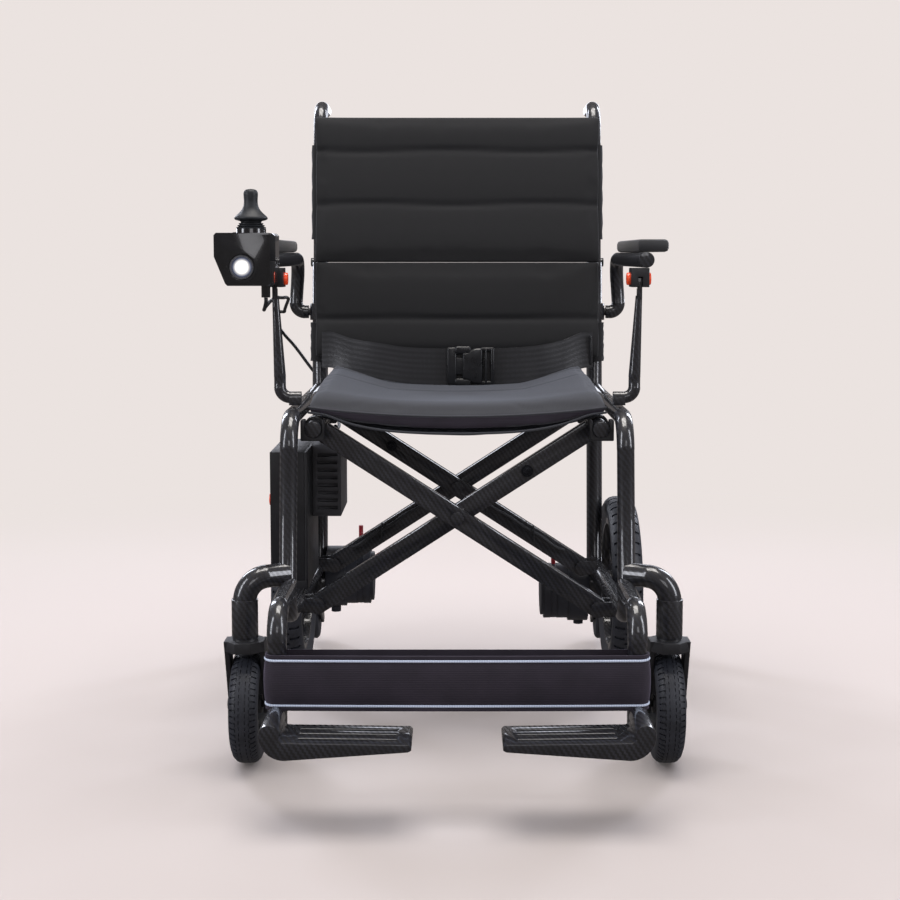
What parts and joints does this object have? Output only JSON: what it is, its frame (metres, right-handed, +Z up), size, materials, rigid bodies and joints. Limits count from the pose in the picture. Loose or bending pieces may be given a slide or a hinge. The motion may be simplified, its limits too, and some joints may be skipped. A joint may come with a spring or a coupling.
{
  "type": "power wheelchair",
  "caption": "Folding power wheelchair with tubular side frames, cross-braced seat, padded cloth seat and back, flip-up arms, joystick, lap belt and footplates.",
  "frame": {"origin": "on the floor under the middle of the overall box", "axes": "+Z up, the chair faces -Y, +X is the chair's left"},
  "size_m": [0.6155, 0.867, 0.9203],
  "materials": {
    "carbon": "gloss carbon fibre",
    "plastic": "matt moulded plastic",
    "gloss_black": "gloss moulded plastic",
    "cloth": "woven cloth over foam",
    "webbing": "woven webbing",
    "strap": "padded cloth with pale piping",
    "tyre": "treaded rubber",
    "soft_black": "soft touch rubber",
    "cable": "smooth sheath",
    "orange": "gloss orange plastic",
    "red": "dark red sleeve",
    "lens": "clear lamp lens"
  },
  "bodies": {
    "right_frame": {"right_side_frame": "carbon", "right_saddles": "plastic", "right_arm_post": "carbon", "right_foot_hanger": "carbon", "right_motor": "plastic", "right_antitip_arm": "carbon", "battery_cradle": "plastic", "controller_case": "plastic", "frame_cable": "cable", "calf_strap": "strap", "back_pad_lower": "cloth"},
    "cross_a": {"cross_bars_a": "carbon"},
    "cross_b": {"cross_bars_b": "carbon"},
    "left_frame": {"left_side_frame": "carbon", "left_saddles": "plastic", "left_arm_post": "carbon", "left_foot_hanger": "carbon", "left_motor": "plastic", "left_antitip_arm": "carbon"},
    "seat": {"left_seat_rail": "carbon", "seat_cushion": "cloth", "seat_sling": "cloth", "lap_belt": "webbing", "belt_buckle": "gloss_black"},
    "right_rail": {"right_seat_rail": "carbon"},
    "right_back": {"right_back_post": "carbon", "back_pad_upper": "cloth"},
    "left_back": {"left_back_post": "carbon"},
    "right_arm": {"right_arm_tube": "carbon", "right_arm_pad": "plastic", "right_arm_latch": "plastic", "joystick_case": "gloss_black", "headlight": "lens", "joystick_cable": "cable"},
    "left_arm": {"left_arm_tube": "carbon", "left_arm_pad": "plastic", "left_arm_latch": "plastic"},
    "right_arm_button": {"right_latch_button": "orange"},
    "left_arm_button": {"left_latch_button": "orange"},
    "gimbal": {"joystick_gimbal": "plastic"},
    "stick": {"joystick_lever": "soft_black"},
    "power_key": {"power_button": "plastic"},
    "battery": {"battery_case": "plastic"},
    "battery_key": {"battery_button": "orange"},
    "right_caster": {"right_caster_fork": "plastic"},
    "right_caster_wheel": {"right_caster_tyre": "tyre", "right_caster_rim": "plastic"},
    "right_wheel": {"right_rear_tyre": "tyre", "right_rear_rim": "carbon"},
    "right_roller": {"right_antitip_wheel": "tyre"},
    "right_clutch": {"right_clutch_lever": "red"},
    "right_foot": {"right_footplate": "carbon"},
    "left_caster": {"left_caster_fork": "plastic"},
    "left_caster_wheel": {"left_caster_tyre": "tyre", "left_caster_rim": "plastic"},
    "left_wheel": {"left_rear_tyre": "tyre", "left_rear_rim": "carbon"},
    "left_roller": {"left_antitip_wheel": "tyre"},
    "left_clutch": {"left_clutch_lever": "red"},
    "left_foot": {"left_footplate": "carbon"}
  },
  "joints": [
    {"name": "fold", "type": "hinge", "parent": "right_frame", "child": "cross_a", "pos_m": [-0.193, 0, 0.186], "axis": [0, -1, 0], "range_deg": [0, 41], "deforming": ["seat_cushion", "seat_sling", "lap_belt", "belt_buckle", "back_pad_upper", "back_pad_lower", "calf_strap"]},
    {"name": "cross_centre", "type": "hinge", "parent": "cross_a", "child": "cross_b", "pos_m": [0, 0, 0.311], "axis": [0, -1, 0], "range_deg": [-82, 0]},
    {"name": "left_frame_fold", "type": "hinge", "parent": "cross_b", "child": "left_frame", "pos_m": [0.193, 0, 0.186], "axis": [0, -1, 0], "range_deg": [0, 41]},
    {"name": "seat_rise", "type": "hinge", "parent": "cross_a", "child": "seat", "pos_m": [0.193, 0, 0.436], "axis": [0, -1, 0], "range_deg": [-41, 0]},
    {"name": "right_rail_rise", "type": "hinge", "parent": "cross_b", "child": "right_rail", "pos_m": [-0.193, 0, 0.436], "axis": [0, -1, 0], "range_deg": [0, 41]},
    {"name": "right_foot_flip", "type": "hinge", "parent": "right_frame", "child": "right_foot", "pos_m": [-0.218, -0.364, 0.116], "axis": [0, -1, 0], "range_deg": [0, 90]},
    {"name": "left_foot_flip", "type": "hinge", "parent": "left_frame", "child": "left_foot", "pos_m": [0.218, -0.364, 0.116], "axis": [0, 1, 0], "range_deg": [0, 90]},
    {"name": "back_fold", "type": "hinge", "parent": "right_frame", "child": "right_back", "pos_m": [-0.222, 0.31478, 0.657], "axis": [-1, 0, 0], "range_deg": [0, 150]},
    {"name": "left_back_fold", "type": "hinge", "parent": "left_frame", "child": "left_back", "pos_m": [0.222, 0.31478, 0.657], "axis": [-1, 0, 0], "range_deg": [0, 150]},
    {"name": "right_arm_lift", "type": "hinge", "parent": "right_frame", "child": "right_arm", "pos_m": [-0.24, 0.28508, 0.577], "axis": [-1, 0, 0], "range_deg": [0, 100]},
    {"name": "right_arm_release", "type": "slide", "parent": "right_arm", "child": "right_arm_button", "axis": [1, 0, 0], "range_m": [-0.0025, 0.0025], "stiffness_N_per_m": 400},
    {"name": "left_arm_lift", "type": "hinge", "parent": "left_frame", "child": "left_arm", "pos_m": [0.24, 0.28508, 0.577], "axis": [-1, 0, 0], "range_deg": [0, 100]},
    {"name": "left_arm_release", "type": "slide", "parent": "left_arm", "child": "left_arm_button", "axis": [1, 0, 0], "range_m": [-0.0025, 0.0025], "stiffness_N_per_m": 400},
    {"name": "stick_pitch", "type": "hinge", "parent": "right_arm", "child": "gimbal", "pos_m": [-0.271, -0.1493, 0.68], "axis": [1, 0, 0], "range_deg": [-18, 18], "stiffness_Nm_per_rad": 0.25},
    {"name": "stick_roll", "type": "hinge", "parent": "gimbal", "child": "stick", "pos_m": [-0.271, -0.1493, 0.68], "axis": [0, 1, 0], "range_deg": [-18, 18], "stiffness_Nm_per_rad": 0.25},
    {"name": "power_press", "type": "slide", "parent": "right_arm", "child": "power_key", "axis": [0, 0, -1], "range_m": [0, 0.0015], "stiffness_N_per_m": 500},
    {"name": "battery_slide", "type": "slide", "parent": "right_frame", "child": "battery", "axis": [-1, 0, 0], "range_m": [0, 0.12]},
    {"name": "battery_release", "type": "slide", "parent": "battery", "child": "battery_key", "axis": [1, 0, 0], "range_m": [0, 0.002], "stiffness_N_per_m": 500},
    {"name": "right_caster_swivel", "type": "hinge", "parent": "right_frame", "child": "right_caster", "pos_m": [-0.275, -0.22, 0.19], "axis": [0, 0, 1], "continuous": true},
    {"name": "right_caster_spin", "type": "hinge", "parent": "right_caster", "child": "right_caster_wheel", "pos_m": [-0.275, -0.187, 0.0765], "axis": [1, 0, 0], "continuous": true},
    {"name": "right_wheel_spin", "type": "hinge", "parent": "right_frame", "child": "right_wheel", "pos_m": [-0.262, 0.243, 0.14], "axis": [1, 0, 0], "continuous": true},
    {"name": "right_roller_spin", "type": "hinge", "parent": "right_frame", "child": "right_roller", "pos_m": [-0.245, 0.397, 0.0445], "axis": [1, 0, 0], "continuous": true},
    {"name": "right_clutch_turn", "type": "hinge", "parent": "right_frame", "child": "right_clutch", "pos_m": [-0.15, 0.243, 0.152], "axis": [-1, 0, 0], "range_deg": [0, 40]},
    {"name": "left_caster_swivel", "type": "hinge", "parent": "left_frame", "child": "left_caster", "pos_m": [0.275, -0.22, 0.19], "axis": [0, 0, 1], "continuous": true},
    {"name": "left_caster_spin", "type": "hinge", "parent": "left_caster", "child": "left_caster_wheel", "pos_m": [0.275, -0.187, 0.0765], "axis": [1, 0, 0], "continuous": true},
    {"name": "left_wheel_spin", "type": "hinge", "parent": "left_frame", "child": "left_wheel", "pos_m": [0.262, 0.243, 0.14], "axis": [1, 0, 0], "continuous": true},
    {"name": "left_roller_spin", "type": "hinge", "parent": "left_frame", "child": "left_roller", "pos_m": [0.245, 0.397, 0.0445], "axis": [1, 0, 0], "continuous": true},
    {"name": "left_clutch_turn", "type": "hinge", "parent": "left_frame", "child": "left_clutch", "pos_m": [0.15, 0.243, 0.128], "axis": [-1, 0, 0], "range_deg": [0, 40]}
  ],
  "couplings": [
    {"joint": "cross_centre", "follows": "fold", "ratio": -2},
    {"joint": "left_frame_fold", "follows": "fold", "ratio": 1},
    {"joint": "seat_rise", "follows": "fold", "ratio": -1},
    {"joint": "right_rail_rise", "follows": "fold", "ratio": 1},
    {"joint": "right_foot_flip", "follows": "fold", "ratio": 2.1},
    {"joint": "left_foot_flip", "follows": "fold", "ratio": 2.1},
    {"joint": "left_back_fold", "follows": "back_fold", "ratio": 1}
  ]
}
